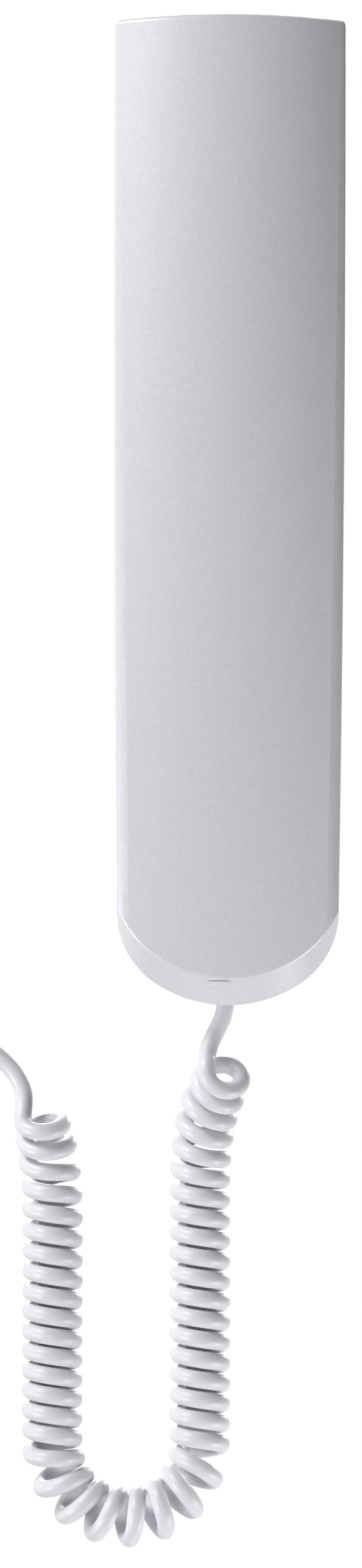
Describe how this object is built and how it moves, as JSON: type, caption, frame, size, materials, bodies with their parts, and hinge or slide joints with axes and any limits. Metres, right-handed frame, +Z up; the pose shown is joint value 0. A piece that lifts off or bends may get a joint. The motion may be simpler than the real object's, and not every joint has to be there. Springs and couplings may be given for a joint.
{
  "type": "intercom handset",
  "caption": "Slim wall intercom handset with a crowned front, ear and mouth bosses behind and a hanging curly cord with a modular plug.",
  "frame": {"origin": "middle of the flat ledge under the ear boss, where the handset rests on its cradle", "axes": "+X across the handset to the right as seen from its front cover, +Y from the front cover to the ear and mouth side, +Z up along the hanging handset"},
  "size_m": [0.0881, 0.0372, 0.3287],
  "materials": {
    "cover_plastic": "smooth satin moulding",
    "cord_jacket": "smooth satin jacket",
    "screw_steel": "zinc plated",
    "plated_steel": "zinc plated",
    "magnet_nickel": "nickel plated",
    "foam": "fine foam",
    "black_rubber": "matt",
    "cap_aluminium": "satin",
    "diaphragm_film": "thin film",
    "copper": "enamelled wire",
    "black_plastic": "matt moulding",
    "board_green": "solder mask",
    "terminal_brass": "bright",
    "connector_plastic": "natural moulding",
    "wire_red": "insulation",
    "wire_black": "insulation",
    "wire_yellow": "insulation",
    "clear_plastic": "clear moulding"
  },
  "bodies": {
    "handset": {"outer_shell": "cover_plastic", "inner_shell": "cover_plastic", "case_screws": "screw_steel", "receiver_gasket": "foam", "receiver_front_cap": "cap_aluminium", "receiver_diaphragm": "diaphragm_film", "receiver_basket": "black_plastic", "receiver_pole_plate": "plated_steel", "receiver_magnet": "magnet_nickel", "receiver_yoke": "plated_steel", "receiver_terminal_board": "board_green", "receiver_terminals": "terminal_brass", "receiver_back_pad": "foam", "microphone_boot": "black_rubber", "microphone_capsule": "cap_aluminium", "microphone_board": "board_green", "ballast_weight": "plated_steel", "ballast_screws": "screw_steel", "junction_board": "board_green", "board_screws": "screw_steel", "line_connector": "connector_plastic", "connector_pins": "terminal_brass", "receiver_wires": "wire_red", "microphone_wires": "wire_black", "line_wires": "wire_yellow", "cord_grommet": "cord_jacket", "curly_cord": "cord_jacket", "plug_body": "clear_plastic", "plug_contacts": "terminal_brass"},
    "coil": {"voice_coil": "copper"},
    "latch": {"plug_latch": "clear_plastic"}
  },
  "joints": [
    {"name": "voice_coil_stroke", "type": "slide", "parent": "handset", "child": "coil", "axis": [0, 1, 0], "range_m": [-0.0003, 0.0003], "stiffness_N_per_m": 500, "deforming": ["receiver_diaphragm"]},
    {"name": "plug_latch_flex", "type": "hinge", "parent": "handset", "child": "latch", "pos_m": [-0.0595, -0.0098, -0.1342], "axis": [1, 0, 0], "range_deg": [0, 10], "stiffness_Nm_per_rad": 0.05}
  ]
}
